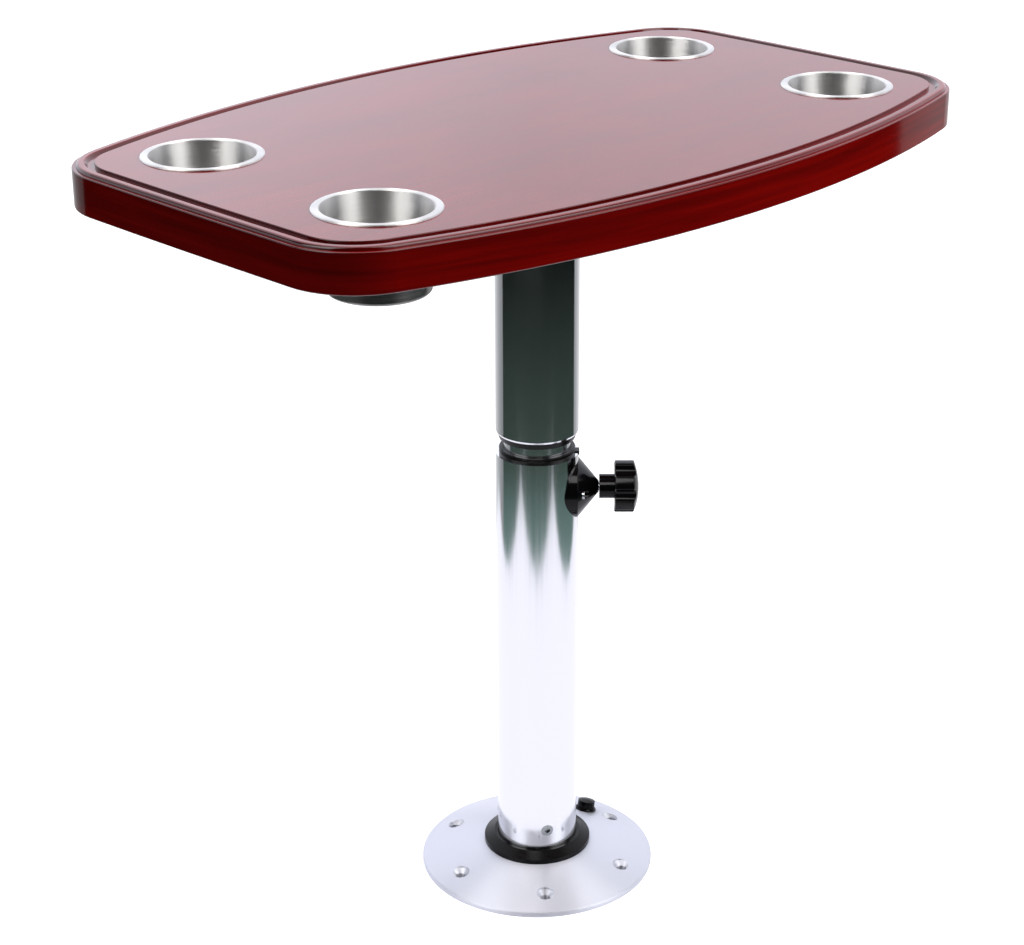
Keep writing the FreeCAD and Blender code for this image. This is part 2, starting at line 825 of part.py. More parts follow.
def top_flange():
    """Plate under the top, thinner at its edge, with a hub that fits between the two tubes."""
    edge = top_flange_diameter / 2
    hub_bottom = upper_tube_top - top_hub_length
    flange = turned([
        (inner_radius + fixed_fit, hub_bottom),
        (tube_bore - fixed_fit, hub_bottom),
        (tube_bore - fixed_fit, upper_tube_top),
        (tube_radius, upper_tube_top),
        (edge, underside - top_flange_edge),
        (edge, underside),
        (0, underside),
        (0, upper_tube_top),
        (inner_radius + fixed_fit, upper_tube_top),
    ])
    for centre in top_screw_centres():
        flange = flange.cut(top_screw(centre, fixed_fit, overcut))
    for tool in screw_holes(hub_screw_height, hub_screw_angle, tube_bore):
        flange = flange.cut(tool)
    return flange


def top_flange_screws():
    screws = []
    for centre in top_screw_centres():
        screw = top_screw(centre, 0, top_screw_slot / 2)
        half = top_screw_slot / 2
        bottom = top_screw_seat() - half
        low = (-top_screw_head, -half, bottom - overcut)
        slot = block(low, (top_screw_head, half, bottom + top_screw_slot))
        slot.translate(centre)
        screws.append(screw.cut(slot))
    return group(screws)


def hub_screws():
    depth = tube_bore - inner_bore
    return group(around_tube(socket_screw(depth), hub_screw_height, hub_screw_angle))


# Top

def table_outline(inset, height):
    """Closed barrel outline of eight tangent arcs, drawn in by an inset."""
    half_length = table_length / 2
    half_width = table_width / 2
    half_end = table_end_width / 2
    chord = half_length - table_end_bow
    drop = half_width - half_end
    side_radius = (chord ** 2 + drop ** 2) / (2 * drop)
    end_radius = (half_end ** 2 + table_end_bow ** 2) / (2 * table_end_bow)
    side_centre = Vector(0, half_width - side_radius, 0)
    end_centre = Vector(half_length - end_radius, 0, 0)

    # The corner's centre lies at known distances from the two arcs' centres.
    side_reach = side_radius - table_corner_radius
    end_reach = end_radius - table_corner_radius
    line = side_centre - end_centre
    span = line.Length
    along = (end_reach ** 2 - side_reach ** 2 + span ** 2) / (2 * span)
    across = math.sqrt(end_reach ** 2 - along ** 2)
    way = line * (1 / span)
    corner = end_centre + way * along + Vector(-way.y, way.x, 0) * across

    side_way = (corner - side_centre).normalize()
    end_way = (corner - end_centre).normalize()
    side_point = side_centre + side_way * (side_radius - inset)
    end_point = end_centre + end_way * (end_radius - inset)
    corner_point = corner + (side_way + end_way).normalize() * (table_corner_radius - inset)

    def mirrored(point, sign_x, sign_y):
        return Vector(point.x * sign_x, point.y * sign_y, height)

    edges = []
    for sign_x, sign_y in ((1, 1), (-1, 1), (-1, -1), (1, -1)):
        first, last = (end_point, side_point) if sign_x == sign_y else (side_point, end_point)
        edges.append(Part.Arc(
            mirrored(first, sign_x, sign_y),
            mirrored(corner_point, sign_x, sign_y),
            mirrored(last, sign_x, sign_y),
        ).toShape())
        if sign_x == sign_y:
            middle = Vector(0, sign_y * (half_width - inset), height)
            far = mirrored(side_point, -sign_x, sign_y)
            edges.append(Part.Arc(mirrored(side_point, sign_x, sign_y), middle, far).toShape())
        else:
            middle = Vector(sign_x * (half_length - inset), 0, height)
            far = mirrored(end_point, sign_x, -sign_y)
            edges.append(Part.Arc(mirrored(end_point, sign_x, sign_y), middle, far).toShape())
    return Part.Wire(edges)


def table_level(inset, bottom, top, edge_round):
    """Slab of the outline with its upper edge rounded."""
    slab = Part.Face(table_outline(inset, bottom)).extrude(Vector(0, 0, top - bottom))
    return rounded(slab, edge_round, level_edges(top))


def cup_centres():
    return [
        Vector(x * (table_length / 2 - cup_end_inset), y * cup_spacing_y / 2, 0)
        for x, y in ((-1, -1), (-1, 1), (1, 1), (1, -1))
    ]


def cup_body_radius():
    """Outer radius of a cup under its rim."""
    return cup_mouth_diameter / 2 + cup_wall


def outline_edges(inset, height):
    """Test that picks the edges of one outline at a height."""
    centres = [edge.CenterOfMass for edge in table_outline(inset, height).Edges]

    def test(edge):
        return any(edge.CenterOfMass.isEqual(centre, 1e-3) for centre in centres)
    return test


def groove_tool():
    """Slab that opens the groove, whose outer wall slopes out to the bead's crest and on above it."""
    slope = (groove_floor_inset - bead_crest_inset) / groove_depth
    floor = table_outline(groove_floor_inset, panel - groove_depth)
    above = table_outline(bead_crest_inset - slope * overcut, panel + overcut)
    return Part.makeLoft([floor, above], True, True)


def tabletop():
    """Panel inside a routed groove and a rolled bead, with a small ledge and a square side."""
    ledge = panel - ledge_drop
    middle = (underside + ledge) / 2
    top = table_level(0, underside, ledge, ledge_round)
    top = rounded(top, underside_round, level_edges(underside))
    top = top.fuse(table_level(bead_inset, middle, panel, bead_round))
    top = top.cut(groove_tool())
    top = rounded(top, bead_edge_round, outline_edges(bead_crest_inset, panel))
    top = top.fuse(table_level(panel_inset, middle, panel, panel_round))
    for centre in cup_centres():
        hole_bottom = centre + Vector(0, 0, underside - overcut)
        hole_radius = cup_body_radius() + moving_gap
        top = top.cut(Part.makeCylinder(hole_radius, table_thickness + 2 * overcut, hole_bottom))
    for centre in top_screw_centres():
        top = top.cut(top_screw(centre, fixed_fit, overcut))
    return top


def cup_holder(centre):
    """Tapered cup with a rolled rim that rests on the panel."""
    rim = cup_rim_diameter / 2
    mouth = cup_mouth_diameter / 2
    foot = cup_foot_diameter / 2
    bottom = panel - cup_depth
    top = panel + cup_rim_height
    outside = turned([
        (0, bottom),
        (foot, bottom),
        (cup_body_radius(), panel),
        (rim, panel),
        (rim, top),
        (0, top),
    ])
    outside = rounded(outside, cup_foot_round, level_edges(bottom))
    outside = rounded(outside, 0.9 * cup_rim_height, outer_edges(rim, (top,)))
    inside = turned([(0, bottom + cup_wall), (foot - cup_wall, bottom + cup_wall), (mouth, top), (0, top)])
    inside = rounded(inside, cup_foot_round - cup_wall, level_edges(bottom + cup_wall))
    cup = outside.cut(inside)
    cup = rounded(cup, cup_rim_height / 2, outer_edges(mouth, (top,)))
    cup.translate(centre)
    return cup


# Pieces, by node name

pieces = {
    "base_flange": base_flange(),
    "base_bush": base_bush(),
    "button_bezel": button_bezel(),
    "release_button": release_button(),
    "latch_bolt": latch_bolt(),
    "latch_spring": latch_spring(),
    "lower_tube": lower_tube(),
    "foot_plug": foot_plug(),
    "foot_plug_screws": foot_plug_screws(),
    "lower_collar": lower_collar(),
    "clamp_boss": clamp_boss(),
    "clamp_boss_screws": clamp_boss_screws(),
    "clamp_nut": clamp_nut(),
    "clamp_pad": clamp_pad(),
    "knob_grip": knob_grip(),
    "knob_stud": knob_stud(),
    "glide_ring": glide_ring(),
    "inner_tube": inner_tube(),
    "inner_tube_plug": inner_tube_plug(),
    "glide_snap_ring": glide_snap_ring(),
    "upper_tube": upper_tube(),
    "upper_end_ring": upper_end_ring(),
    "top_flange": top_flange(),
    "top_flange_screws": top_flange_screws(),
    "hub_screws": hub_screws(),
    "tabletop": tabletop(),
}
for number, place in enumerate(cup_centres(), start=1):
    pieces["cup_holder_%d" % number] = cup_holder(place)

os.makedirs("parts", exist_ok=True)
for name, shape in pieces.items():
    shape.exportStep("parts/%s.step" % name)
    state = "valid" if shape.isValid() else "NOT VALID"
    print("%-20s %2d solids %12.1f mm3 %s" % (name, len(shape.Solids), shape.Volume, state))
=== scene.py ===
import json
import math

import bpy
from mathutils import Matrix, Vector


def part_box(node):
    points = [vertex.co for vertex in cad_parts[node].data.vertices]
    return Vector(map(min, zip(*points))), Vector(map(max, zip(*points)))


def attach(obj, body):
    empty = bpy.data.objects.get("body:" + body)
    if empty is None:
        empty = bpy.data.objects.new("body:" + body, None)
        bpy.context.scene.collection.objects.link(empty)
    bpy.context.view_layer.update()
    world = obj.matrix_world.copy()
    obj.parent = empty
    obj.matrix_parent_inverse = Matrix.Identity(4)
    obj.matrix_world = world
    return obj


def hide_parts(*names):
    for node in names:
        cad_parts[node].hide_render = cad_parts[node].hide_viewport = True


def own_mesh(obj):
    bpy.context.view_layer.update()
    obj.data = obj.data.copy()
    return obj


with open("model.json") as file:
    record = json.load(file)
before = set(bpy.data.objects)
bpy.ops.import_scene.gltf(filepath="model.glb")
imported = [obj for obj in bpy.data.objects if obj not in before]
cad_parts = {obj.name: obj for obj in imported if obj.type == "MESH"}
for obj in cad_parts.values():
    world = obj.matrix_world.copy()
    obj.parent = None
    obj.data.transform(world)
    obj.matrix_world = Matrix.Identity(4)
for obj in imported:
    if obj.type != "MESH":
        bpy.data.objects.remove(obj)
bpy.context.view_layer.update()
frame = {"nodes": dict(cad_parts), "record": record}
nodes = frame["nodes"]
scene = bpy.context.scene
scene.view_settings.view_transform = "Standard"

MM = 0.001
up = Vector((0, 0, 1))

# Heights and reach read from the frame, in metres
panel_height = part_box("tabletop")[1].z
underside_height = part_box("tabletop")[0].z
base_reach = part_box("base_flange")[1].x - 4 * MM     # a little inside the rim

# Camera, from the fit to the photograph
camera_place = Vector((-1.40985, -1.40902, 1.24277))
camera_target = Vector((0, 0, 0.40725))
camera_lens = 82.74
camera_sensor = 36.0
camera_shift = -0.0245
camera_far_end = 100

# Studio, in metres, along the level line from the pedestal to the camera and to its right
front = Vector((camera_place.x, camera_place.y, 0)).normalized()
right = Vector((-front.y, front.x, 0))
floor_size = 60.0
board_reach = 0.742            # from the pedestal to the front, left and back edges of the board under it
board_right_reach = 0.71
studio_reach = 7.0
left_backdrop_slope = 0.30     # how far back the backdrop's edges run for each metre sideways
right_backdrop_slope = 0.58
board_depth = -2 * MM          # under the floor that the camera sees
base_shade_depth = -1 * MM
base_shade_corners = 48
fade_start = 0.7               # distances from the pedestal between which the board and the room fade
fade_end = 2.0
board_strength = 1.25
room_strength = 1.0
backdrop_strength = 1.2

# Lights
wall_strength = 4.0
low_wall_end = 0.32            # sines of about 19 and 25 degrees above level, between which the walls change
high_wall_start = 0.42
fill_tone = "#565659"
high_softbox_from = up * 0.77 - front * 0.64
high_softbox_edge = 0.925      # cosines of about 22 and 15 degrees from its middle
high_softbox_core = 0.965
high_softbox_tone = "#B4B6BC"
key_from = up * 0.3 - front * 0.2 + right * 0.95
key_strength = 4.6
key_spread = 60                # degrees
base_light_place = front * 0.2 - right * 0.04 + up * 0.62
base_light_target = front * 0.1
base_light_width = 0.3
base_light_depth = 0.15
base_light_power = 1.0

# Walls that metal mirrors, as (bearing in degrees from the camera to its right, tone)
back_wall = "#95979E"
back_wall_left = "#A9ABB3"
side_wall = "#939498"
dark_side = "#0D0D0E"
dark_front = "#030303"
softbox = "#FFFFFF"
walls = [
    (-180, back_wall), (-171, back_wall_left), (-114, side_wall), (-106, dark_side), (-84, dark_side),
    (-76, softbox), (-38, softbox), (-30, dark_front), (40, dark_front), (50, softbox),
    (86, softbox), (94, dark_side), (110, dark_side), (118, side_wall), (180, back_wall),
]
low_walls = [
    (-180, back_wall), (-171, back_wall_left), (-60, back_wall), (-30, dark_side), (30, dark_side),
    (60, back_wall), (180, back_wall),
]


# Colours and nodes

def linear(code):
    """Linear colour of an sRGB hex value."""
    shares = [int(code[start:start + 2], 16) / 255 for start in (1, 3, 5)]
    return [share / 12.92 if share <= 0.04045 else ((share + 0.055) / 1.055) ** 2.4 for share in shares] + [1]


def per_mm(*sizes):
    """Texture scale that makes one unit of a pattern as long as these sizes in millimetres."""
    return [1 / (size * MM) for size in sizes]


def add(tree, kind, inputs=None, stops=(), **settings):
    """Adds a node with its settings, sets or links its inputs, and gives a ramp its (place, hex) stops."""
    node = tree.nodes.new(kind)
    for name, value in settings.items():
        setattr(node, name, value)
    for name, value in (inputs or {}).items():
        if isinstance(value, bpy.types.NodeSocket):
            tree.links.new(value, node.inputs[name])
        else:
            node.inputs[name].default_value = value
    if stops:
        ramp = node.color_ramp.elements
        for place, code in stops[2:]:
            ramp.new(place)
        for element, (place, code) in zip(ramp, stops):
            element.position = place
            element.color = linear(code)
    return node


def new_material(name):
    """Material with an empty node tree."""
    material = bpy.data.materials.new(name)
    material.use_nodes = True
    material.node_tree.nodes.clear()
    return material, material.node_tree


# Finishes

def lacquered_mahogany():
    """Mahogany-stained veneer and solid lipping under a sprayed gloss lacquer.

    The eye sees a deep red with a faint cloudy figure and fine pores on the panel, level streaks round the
    edge that run a little brighter towards the underside through painted light and shade, and a clear coat
    that mirrors the studio."""
    material, tree = new_material("lacquered_mahogany_stained_and_sprayed")
    coords = add(tree, "ShaderNodeTexCoord")
    place = coords.outputs["Object"]

    # Panel: soft clouds of stain and long ribbons along the table
    cloud_place = add(tree, "ShaderNodeVectorMath", {0: place, 1: per_mm(110, 60, 60)}, operation="MULTIPLY")
    clouds = add(
        tree, "ShaderNodeTexNoise",
        {"Vector": cloud_place.outputs["Vector"], "Scale": 1.0, "Detail": 3.0},
    )
    ribbon_place = add(tree, "ShaderNodeVectorMath", {0: place, 1: per_mm(260, 12, 40)}, operation="MULTIPLY")
    ribbons = add(
        tree, "ShaderNodeTexNoise",
        {"Vector": ribbon_place.outputs["Vector"], "Scale": 1.0, "Detail": 5.0, "Distortion": 0.7},
    )
    figure = add(
        tree, "ShaderNodeMix",
        {"Factor": 0.45, "A": clouds.outputs["Fac"], "B": ribbons.outputs["Fac"]},
    )
    panel_stain = add(
        tree, "ShaderNodeValToRGB", {"Fac": figure.outputs["Result"]},
        stops=[(0.30, "#800D0B"), (0.70, "#9E130F")],
    )

    # Panel: dark pores, drawn coarser than real ones so that they show
    pore_place = add(tree, "ShaderNodeVectorMath", {0: place, 1: per_mm(13, 0.6, 2)}, operation="MULTIPLY")
    pores = add(
        tree, "ShaderNodeTexNoise",
        {"Vector": pore_place.outputs["Vector"], "Scale": 1.0, "Detail": 2.0},
    )
    pore_shade = add(
        tree, "ShaderNodeMapRange",
        {"Value": pores.outputs["Fac"], "From Min": 0.30, "From Max": 0.45, "To Min": 0.72, "To Max": 1.0},
    )
    panel_colour = add(
        tree, "ShaderNodeVectorMath",
        {0: panel_stain.outputs["Color"], 1: pore_shade.outputs["Result"]}, operation="MULTIPLY",
    )

    # Edge: level streaks, and painted shade that makes it a little darker towards the top and brighter
    # towards the underside
    streak_place = add(tree, "ShaderNodeVectorMath", {0: place, 1: per_mm(150, 150, 6)}, operation="MULTIPLY")
    streaks = add(
        tree, "ShaderNodeTexNoise",
        {"Vector": streak_place.outputs["Vector"], "Scale": 1.0, "Detail": 5.0, "Distortion": 0.3},
    )
    parts = add(tree, "ShaderNodeSeparateXYZ", {"Vector": place})
    # Height from the underside to the panel: painted shade, darker towards the top, brighter towards the
    # underside
    level = add(
        tree, "ShaderNodeMapRange",
        {"Value": parts.outputs["Z"], "From Min": underside_height, "From Max": panel_height},
    )
    shade = add(
        tree, "ShaderNodeMix",
        {"Factor": 0.8, "A": level.outputs["Result"], "B": streaks.outputs["Fac"]},
    )
    edge_stain_and_painted_shade = add(
        tree, "ShaderNodeValToRGB", {"Fac": shade.outputs["Result"]},
        stops=[(0.34, "#720502"), (0.50, "#640302"), (0.66, "#540302")],
    )

    # Level faces take the panel's colour, upright ones the edge's
    facing = add(tree, "ShaderNodeSeparateXYZ", {"Vector": coords.outputs["Normal"]})
    slope = add(tree, "ShaderNodeMath", {0: facing.outputs["Z"]}, operation="ABSOLUTE")
    flat = add(
        tree, "ShaderNodeMapRange", {"Value": slope.outputs["Value"], "From Min": 0.75, "From Max": 0.95},
    )
    colour = add(
        tree, "ShaderNodeMix",
        {
            "Factor": flat.outputs["Result"],
            "A": edge_stain_and_painted_shade.outputs["Color"], "B": panel_colour.outputs["Vector"],
        },
        data_type="RGBA",
    )

    # Lacquer: a trace of orange peel
    peel_place = add(tree, "ShaderNodeVectorMath", {0: place, 1: per_mm(6, 6, 6)}, operation="MULTIPLY")
    peel = add(
        tree, "ShaderNodeTexNoise",
        {"Vector": peel_place.outputs["Vector"], "Scale": 1.0, "Detail": 1.0},
    )
    flow = add(
        tree, "ShaderNodeBump", {"Height": peel.outputs["Fac"], "Strength": 0.04, "Distance": 0.2 * MM},
    )
    shader = add(
        tree, "ShaderNodeBsdfPrincipled",
        {
            "Base Color": colour.outputs["Result"], "Roughness": 0.6, "Specular IOR Level": 0.0,
            "Coat Weight": 1.0, "Coat Roughness": 0.09, "Coat IOR": 1.5,
            "Coat Normal": flow.outputs["Normal"],
        },
    )
    add(tree, "ShaderNodeOutputMaterial", {"Surface": shader.outputs["BSDF"]})
    return material


def spun_stainless():
    """Stainless steel, spun to shape and brushed round its axis.

    The eye sees upright white and dark bands whose edges are frayed by level brush marks round the mouth,
    and a duller, plainer mirror on the drawn body below the panel, where painted shade also darkens the
    steel. The marks are drawn coarser than real ones so that they show."""
    material, tree = new_material("stainless_steel_spun_and_brushed")
    coords = add(tree, "ShaderNodeTexCoord")
    place = coords.outputs["Object"]
    mark_place = add(tree, "ShaderNodeVectorMath", {0: place, 1: per_mm(30, 30, 0.8)}, operation="MULTIPLY")
    marks = add(
        tree, "ShaderNodeTexNoise",
        {"Vector": mark_place.outputs["Vector"], "Scale": 1.0, "Detail": 3.0},
    )
    parts = add(tree, "ShaderNodeSeparateXYZ", {"Vector": place})
    brushed = add(
        tree, "ShaderNodeMapRange",
        {
            "Value": parts.outputs["Z"],
            "From Min": underside_height - 8 * MM, "From Max": underside_height + 6 * MM,
        },
    )
    # Steel darker below the panel: painted shade under the table top, on top of the duller finish there
    steel = add(
        tree, "ShaderNodeMix",
        {"Factor": brushed.outputs["Result"], "A": linear("#8C8A87"), "B": linear("#E2E0DD")},
        data_type="RGBA",
    )
    polish = add(
        tree, "ShaderNodeMapRange",
        {"Value": brushed.outputs["Result"], "To Min": 0.12, "To Max": 0.34},
    )
    gloss = add(
        tree, "ShaderNodeMath",
        {0: marks.outputs["Fac"], 1: 0.2, 2: polish.outputs["Result"]}, operation="MULTIPLY_ADD",
    )

    # The marks tip the surface a little to each side, which frays the bands
    tangent = add(tree, "ShaderNodeTangent", direction_type="RADIAL", axis="Z")
    sway = add(
        tree, "ShaderNodeMapRange",
        {"Value": marks.outputs["Fac"], "From Min": 0.2, "From Max": 0.8, "To Min": -0.07, "To Max": 0.07},
    )
    fray = add(
        tree, "ShaderNodeVectorMath",
        {0: tangent.outputs["Tangent"], 1: sway.outputs["Result"]}, operation="MULTIPLY",
    )
    geometry = add(tree, "ShaderNodeNewGeometry")
    leaning = add(
        tree, "ShaderNodeVectorMath",
        {0: geometry.outputs["Normal"], 1: fray.outputs["Vector"]}, operation="ADD",
    )
    frayed = add(tree, "ShaderNodeVectorMath", {0: leaning.outputs["Vector"]}, operation="NORMALIZE")
    shader = add(
        tree, "ShaderNodeBsdfPrincipled",
        {
            "Base Color": steel.outputs["Result"], "Metallic": 1.0, "Roughness": gloss.outputs["Value"],
            "Anisotropic": 1.0, "Anisotropic Rotation": 0.25,
            "Tangent": tangent.outputs["Tangent"], "Normal": frayed.outputs["Vector"],
        },
    )
    add(tree, "ShaderNodeOutputMaterial", {"Surface": shader.outputs["BSDF"]})
    return material


def drawn_aluminium():
    """Aluminium tube, drawn, polished and clear anodised.

    The eye sees a clean mirror drawn out up and down, with very faint lengthwise lines. The lines are drawn
    coarser than real ones so that they show."""
    material, tree = new_material("aluminium_tube_drawn_and_clear_anodised")
    coords = add(tree, "ShaderNodeTexCoord")
    line_place = add(
        tree, "ShaderNodeVectorMath",
        {0: coords.outputs["Object"], 1: per_mm(2, 2, 500)}, operation="MULTIPLY",
    )
    lines = add(
        tree, "ShaderNodeTexNoise",
        {"Vector": line_place.outputs["Vector"], "Scale": 1.0, "Detail": 3.0},
    )
    gloss = add(
        tree, "ShaderNodeMapRange",
        {"Value": lines.outputs["Fac"], "From Min": 0.3, "From Max": 0.7, "To Min": 0.08, "To Max": 0.12},
    )
    tangent = add(tree, "ShaderNodeTangent", direction_type="RADIAL", axis="Z")
    shader = add(
        tree, "ShaderNodeBsdfPrincipled",
        {
            "Base Color": linear("#E8E9EC"), "Metallic": 1.0, "Roughness": gloss.outputs["Result"],
            "Anisotropic": 0.5, "Anisotropic Rotation": 0.25, "Tangent": tangent.outputs["Tangent"],
        },
    )
    add(tree, "ShaderNodeOutputMaterial", {"Surface": shader.outputs["BSDF"]})
    return material


def turned_casting():
    """Cast aluminium, turned, bead blasted and satin anodised.

    The eye sees an even pale grey with a wide soft shine that swings round the dome. The blasting is drawn
    coarser than real so that it shows."""
    material, tree = new_material("cast_aluminium_turned_and_satin_anodised")
    coords = add(tree, "ShaderNodeTexCoord")
    blast_place = add(
        tree, "ShaderNodeVectorMath",
        {0: coords.outputs["Object"], 1: per_mm(1.2, 1.2, 1.2)}, operation="MULTIPLY",
    )
    blast = add(
        tree, "ShaderNodeTexNoise",
        {"Vector": blast_place.outputs["Vector"], "Scale": 1.0, "Detail": 2.0},
    )
    gloss = add(
        tree, "ShaderNodeMapRange",
        {"Value": blast.outputs["Fac"], "From Min": 0.3, "From Max": 0.7, "To Min": 0.50, "To Max": 0.58},
    )
    tangent = add(tree, "ShaderNodeTangent", direction_type="RADIAL", axis="Z")
    shader = add(
        tree, "ShaderNodeBsdfPrincipled",
        {
            "Base Color": linear("#CFD0D8"), "Metallic": 0.9, "Roughness": gloss.outputs["Result"],
            "Anisotropic": 0.8, "Anisotropic Rotation": 0.25, "Tangent": tangent.outputs["Tangent"],
        },
    )
    add(tree, "ShaderNodeOutputMaterial", {"Surface": shader.outputs["BSDF"]})
    return material


def plain_plastic(name, colour, roughness, grit):
    """Moulded or machined plastic.

    The eye sees one even colour whose highlights are softened by a fine skin of this grit in millimetres,
    which is coarser than a real one so that it shows."""
    material, tree = new_material(name)
    coords = add(tree, "ShaderNodeTexCoord")
    skin_place = add(
        tree, "ShaderNodeVectorMath",
        {0: coords.outputs["Object"], 1: per_mm(grit, grit, grit)}, operation="MULTIPLY",
    )
    skin = add(
        tree, "ShaderNodeTexNoise",
        {"Vector": skin_place.outputs["Vector"], "Scale": 1.0, "Detail": 2.0},
    )
    gloss = add(
        tree, "ShaderNodeMapRange",
        {
            "Value": skin.outputs["Fac"], "From Min": 0.3, "From Max": 0.7,
            "To Min": roughness * 0.8, "To Max": roughness * 1.2,
        },
    )
    dent = add(
        tree, "ShaderNodeBump", {"Height": skin.outputs["Fac"], "Strength": 0.06, "Distance": 0.1 * MM},
    )
    shader = add(
        tree, "ShaderNodeBsdfPrincipled",
        {
            "Base Color": linear(colour), "IOR": 1.5, "Specular IOR Level": 0.15,
            "Roughness": gloss.outputs["Result"], "Normal": dent.outputs["Normal"],
        },
    )
    add(tree, "ShaderNodeOutputMaterial", {"Surface": shader.outputs["BSDF"]})
    return material


def plain_metal(name, colour, roughness, grit):
    """Plated or machined metal.

    The eye sees a bright metal whose gloss changes a little over patches of this size in millimetres."""
    material, tree = new_material(name)
    coords = add(tree, "ShaderNodeTexCoord")
    bloom_place = add(
        tree, "ShaderNodeVectorMath",
        {0: coords.outputs["Object"], 1: per_mm(grit, grit, grit)}, operation="MULTIPLY",
    )
    bloom = add(
        tree, "ShaderNodeTexNoise",
        {"Vector": bloom_place.outputs["Vector"], "Scale": 1.0, "Detail": 3.0},
    )
    gloss = add(
        tree, "ShaderNodeMapRange",
        {
            "Value": bloom.outputs["Fac"], "From Min": 0.3, "From Max": 0.7,
            "To Min": roughness * 0.7, "To Max": roughness * 1.3,
        },
    )
    shader = add(
        tree, "ShaderNodeBsdfPrincipled",
        {"Base Color": linear(colour), "Metallic": 1.0, "Roughness": gloss.outputs["Result"]},
    )
    add(tree, "ShaderNodeOutputMaterial", {"Surface": shader.outputs["BSDF"]})
    return material


finishes = {
    "mahogany": lacquered_mahogany(),
    "stainless": spun_stainless(),
    "tube_aluminium": drawn_aluminium(),
    "cast_aluminium": turned_casting(),
    "black_gloss": plain_plastic("black_abs_moulded_gloss", "#050506", 0.14, 1.5),
    "black_satin": plain_plastic("black_nylon_moulded_satin", "#070707", 0.26, 0.8),
    "nylon": plain_plastic("white_acetal_machined", "#E4E2DA", 0.45, 1.0),
    "zinc_steel": plain_metal("steel_zinc_plated", "#A4A8AA", 0.28, 2.0),
    "brass": plain_metal("brass_machined", "#C9A24B", 0.3, 1.5),
}

for entry in frame["record"]["subparts"]:
    slots = nodes[entry["node"]].data.materials
    slots.clear()
    slots.append(finishes[entry["material_slot"]])


# Latch spring, a piece of its own

def squeezed_spring():
    """Latch spring copied into a coil with its own mesh, attached to the base, in place of the hidden part.
    """
    node = nodes["latch_spring"]
    coil = bpy.data.objects.new("latch_spring_coil", node.data.copy())
    coil.matrix_world = node.matrix_world
    scene.collection.objects.link(coil)
    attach(coil, "base")
    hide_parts("latch_spring")
    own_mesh(coil)


squeezed_spring()


# Studio

def flat_sheet(name, corners, height, material):
    """Level sheet from (towards the camera, to its right) corners in metres."""
    mesh = bpy.data.meshes.new(name)
    points = [front * ahead + right * aside + up * height for ahead, aside in corners]
    mesh.from_pydata(points, [], [list(range(len(points)))])
    mesh.materials.append(material)
    sheet = bpy.data.objects.new(name, mesh)
    scene.collection.objects.link(sheet)
    return sheet


def pale_floor():
    """Matt white floor, which only the camera sees."""
    material, tree = new_material("studio_floor_matt_white")
    shader = add(
        tree, "ShaderNodeBsdfPrincipled",
        {
            "Base Color": linear("#FAFAFA"), "Roughness": 0.9, "Specular IOR Level": 0.0,
            "Emission Color": linear("#FFFFFF"), "Emission Strength": 0.5,
        },
    )
    add(tree, "ShaderNodeOutputMaterial", {"Surface": shader.outputs["BSDF"]})
    half = floor_size / 2
    floor = flat_sheet("floor", [(half, half), (-half, half), (-half, -half), (half, -half)], 0, material)
    floor.visible_glossy = False
    floor.visible_diffuse = False


def faded_glow(name, stops, strength):
    """Glow that changes with the distance from the pedestal."""
    material, tree = new_material(name)
    coords = add(tree, "ShaderNodeTexCoord")
    away = add(tree, "ShaderNodeVectorMath", {0: coords.outputs["Object"]}, operation="LENGTH")
    reach = add(
        tree, "ShaderNodeMapRange",
        {"Value": away.outputs["Value"], "From Min": fade_start, "From Max": fade_end},
    )
    fade = add(tree, "ShaderNodeValToRGB", {"Fac": reach.outputs["Result"]}, stops=stops)
    glow = add(tree, "ShaderNodeEmission", {"Color": fade.outputs["Color"], "Strength": strength})
    add(tree, "ShaderNodeOutputMaterial", {"Surface": glow.outputs["Emission"]})
    return material


def backdrop_glow():
    """Glow of the sweep behind the table, brighter the straighter behind it lies."""
    material, tree = new_material("studio_backdrop_white")
    coords = add(tree, "ShaderNodeTexCoord")
    way = add(tree, "ShaderNodeVectorMath", {0: coords.outputs["Object"]}, operation="NORMALIZE")
    behind = add(
        tree, "ShaderNodeVectorMath", {0: way.outputs["Vector"], 1: -front}, operation="DOT_PRODUCT",
    )
    reach = add(
        tree, "ShaderNodeMapRange", {"Value": behind.outputs["Value"], "From Min": 0.4, "From Max": 1.0},
    )
    fade = add(
        tree, "ShaderNodeValToRGB", {"Fac": reach.outputs["Result"]},
        stops=[(0.0, "#888A8C"), (0.45, "#A6A8AA"), (0.8, "#CBCCCE"), (1.0, "#EAEAEC")],
    )
    glow = add(tree, "ShaderNodeEmission", {"Color": fade.outputs["Color"], "Strength": backdrop_strength})
    add(tree, "ShaderNodeOutputMaterial", {"Surface": glow.outputs["Emission"]})
    return material


def base_shade():
    """Near black of the board in the shade of the base."""
    material, tree = new_material("studio_board_under_base")
    glow = add(tree, "ShaderNodeEmission", {"Color": linear("#050505"), "Strength": 1.0})
    add(tree, "ShaderNodeOutputMaterial", {"Surface": glow.outputs["Emission"]})
    return material


